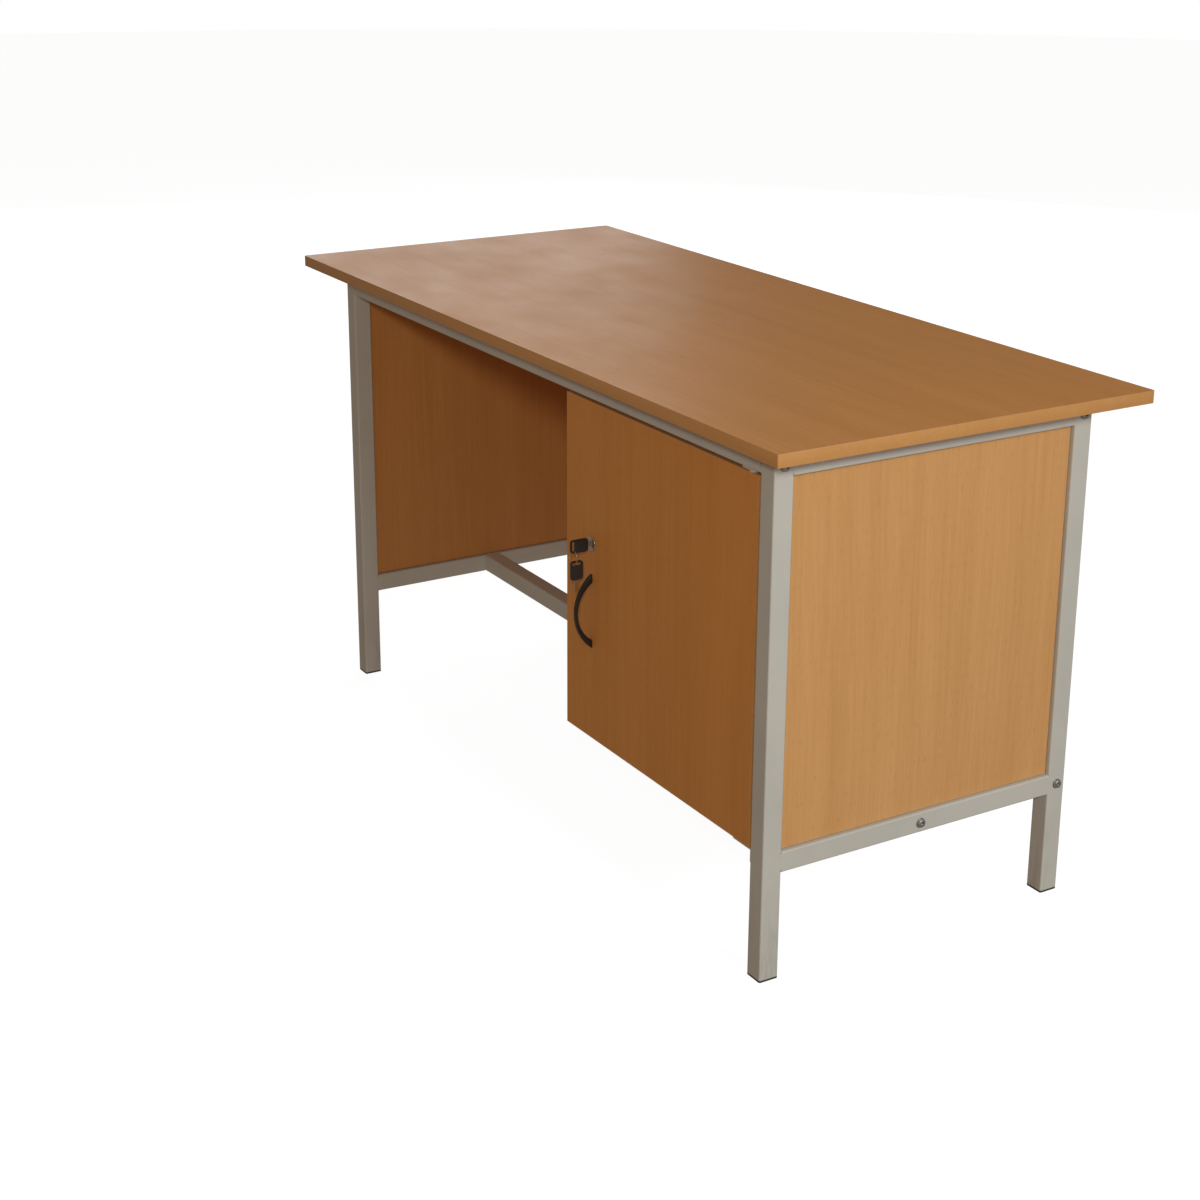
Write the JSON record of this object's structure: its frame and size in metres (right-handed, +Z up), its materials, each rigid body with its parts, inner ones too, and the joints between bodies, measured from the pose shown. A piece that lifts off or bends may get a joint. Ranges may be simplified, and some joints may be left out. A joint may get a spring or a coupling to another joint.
{
  "type": "teacher desk",
  "caption": "Teacher desk: beech-faced top on a square steel tube frame with end and modesty panels and a lockable pedestal cupboard with a bow handle and keys.",
  "frame": {"origin": "on the floor, at the middle of the outer box", "axes": "+X along the desk to the pedestal end, +Y to the visitor side, +Z up; the user sits at -Y"},
  "size_m": [1.44, 0.626, 0.75],
  "materials": {
    "beech_laminate": "satin melamine beech",
    "beech_edge_band": "satin plastic edge",
    "grey_powder_coat": "satin powder coat",
    "zinc_plate": "zinc plated",
    "nickel_plate": "nickel plated",
    "black_plastic": "satin",
    "black_handle": "satin black",
    "foot_plastic": "matte",
    "bush_plastic": "matte nylon"
  },
  "bodies": {
    "desk": {"desk_top": "beech_laminate", "top_edge_bands": "beech_edge_band", "front_left_leg": "grey_powder_coat", "front_right_leg": "grey_powder_coat", "rear_left_leg": "grey_powder_coat", "rear_right_leg": "grey_powder_coat", "left_end_top_rail": "grey_powder_coat", "left_end_bottom_rail": "grey_powder_coat", "right_end_top_rail": "grey_powder_coat", "right_end_bottom_rail": "grey_powder_coat", "front_top_rail": "grey_powder_coat", "rear_top_rail": "grey_powder_coat", "centre_stretcher": "grey_powder_coat", "rear_bottom_rail": "grey_powder_coat", "rail_end_plates": "zinc_plate", "bolt_washers": "zinc_plate", "frame_bolts": "zinc_plate", "foot_caps": "foot_plastic", "left_end_panel": "beech_laminate", "right_end_panel": "beech_laminate", "modesty_panel": "beech_laminate", "fixing_tabs": "grey_powder_coat", "tab_screws": "zinc_plate", "floor_rail_screws": "zinc_plate", "cupboard_side_panel": "beech_laminate", "cupboard_floor": "beech_laminate", "cupboard_shelf": "beech_laminate", "shelf_pins": "nickel_plate", "carcass_screws": "zinc_plate", "side_panel_brackets": "zinc_plate", "bracket_screws": "zinc_plate", "strike_plate": "zinc_plate", "strike_screws": "zinc_plate", "upper_pivot_bracket": "grey_powder_coat", "lower_pivot_bracket": "grey_powder_coat"},
    "door": {"door_panel": "beech_laminate", "door_edge_bands": "beech_edge_band", "pivot_bushes": "bush_plastic", "door_handle": "black_handle", "handle_screws": "zinc_plate", "lock_body": "nickel_plate", "lock_nut": "zinc_plate"},
    "lock_barrel": {"lock_barrel": "nickel_plate", "lock_cam": "zinc_plate", "cam_screw": "zinc_plate", "key_head": "black_plastic", "key_blade": "nickel_plate"},
    "spare_keys": {"key_ring": "nickel_plate", "spare_key_head": "black_plastic", "spare_key_blade": "nickel_plate"}
  },
  "joints": [
    {"name": "door_swing", "type": "hinge", "parent": "desk", "child": "door", "pos_m": [0.6215, -0.27, 0.443], "axis": [0, 0, 1], "range_deg": [0, 120]},
    {"name": "lock_turn", "type": "hinge", "parent": "door", "child": "lock_barrel", "pos_m": [0.23, -0.278, 0.4885], "axis": [0, 1, 0], "range_deg": [0, 90]},
    {"name": "ring_hang", "type": "hinge", "parent": "lock_barrel", "child": "spare_keys", "pos_m": [0.23, -0.308, 0.48], "axis": [0, 1, 0], "range_deg": [-90, 0]}
  ],
  "couplings": [
    {"joint": "ring_hang", "follows": "lock_turn", "ratio": -1}
  ]
}
